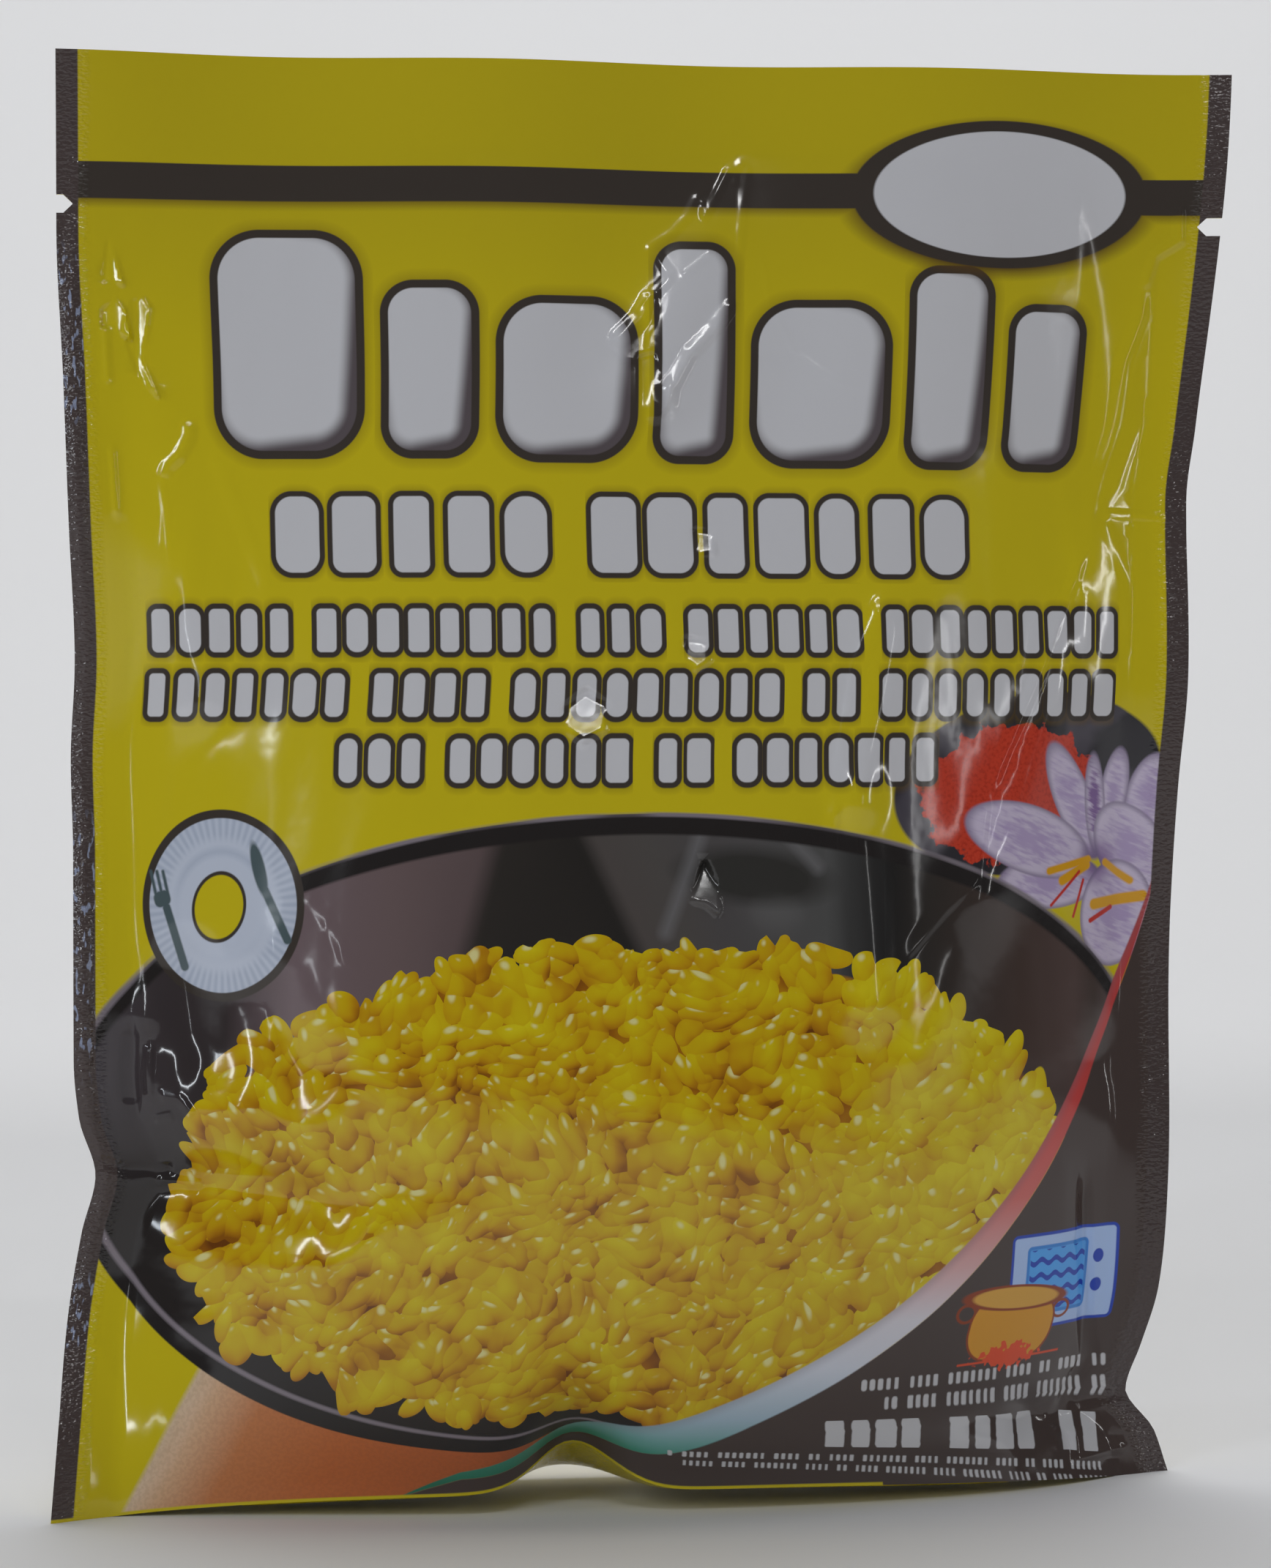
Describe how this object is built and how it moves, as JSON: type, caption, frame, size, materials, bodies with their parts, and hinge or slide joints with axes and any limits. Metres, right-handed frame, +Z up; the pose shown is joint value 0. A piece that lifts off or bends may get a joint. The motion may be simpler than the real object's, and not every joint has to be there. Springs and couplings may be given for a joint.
{
  "type": "stand-up food pouch",
  "caption": "Shut stand-up pouch of dry rice mix: printed film panels welded down the sides and across the top over a folded flat base, with tear notches.",
  "frame": {"origin": "middle of the pack's outline on the floor plane, under the base", "axes": "+Z up to the top seal, front panel facing -Y, +X to the right of the front panel"},
  "size_m": [0.1662, 0.0416, 0.2],
  "materials": {
    "printed_film": "gloss printed laminate film"
  },
  "bodies": {
    "root": {"pouch": "printed_film"}
  },
  "joints": []
}
